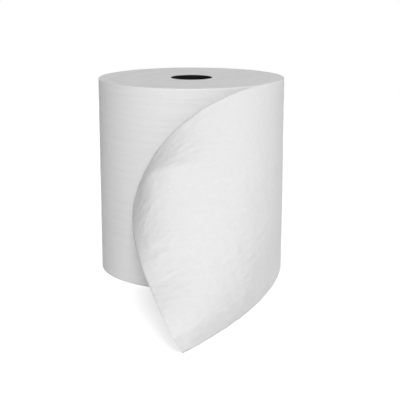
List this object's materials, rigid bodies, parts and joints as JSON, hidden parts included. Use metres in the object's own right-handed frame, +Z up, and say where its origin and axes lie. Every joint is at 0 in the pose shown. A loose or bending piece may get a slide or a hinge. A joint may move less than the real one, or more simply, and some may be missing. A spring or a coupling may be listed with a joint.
{
  "type": "paper towel roll",
  "caption": "Large hard-wound roll of plain white paper hand towel on an open paperboard core, standing on end with its outer end hanging loose in a curl in front.",
  "frame": {"origin": "where the roll's axis meets the surface that the roll stands on", "axes": "+Z up the roll's axis, from the end it stands on to the other end; -Y towards the side where the loose end hangs"},
  "size_m": [0.195, 0.3659, 0.2042],
  "materials": {
    "tissue_paper": "soft matt, fine crepe",
    "paperboard": "matt, spiral wound"
  },
  "bodies": {
    "root": {"paper": "tissue_paper", "core": "paperboard"}
  },
  "joints": []
}
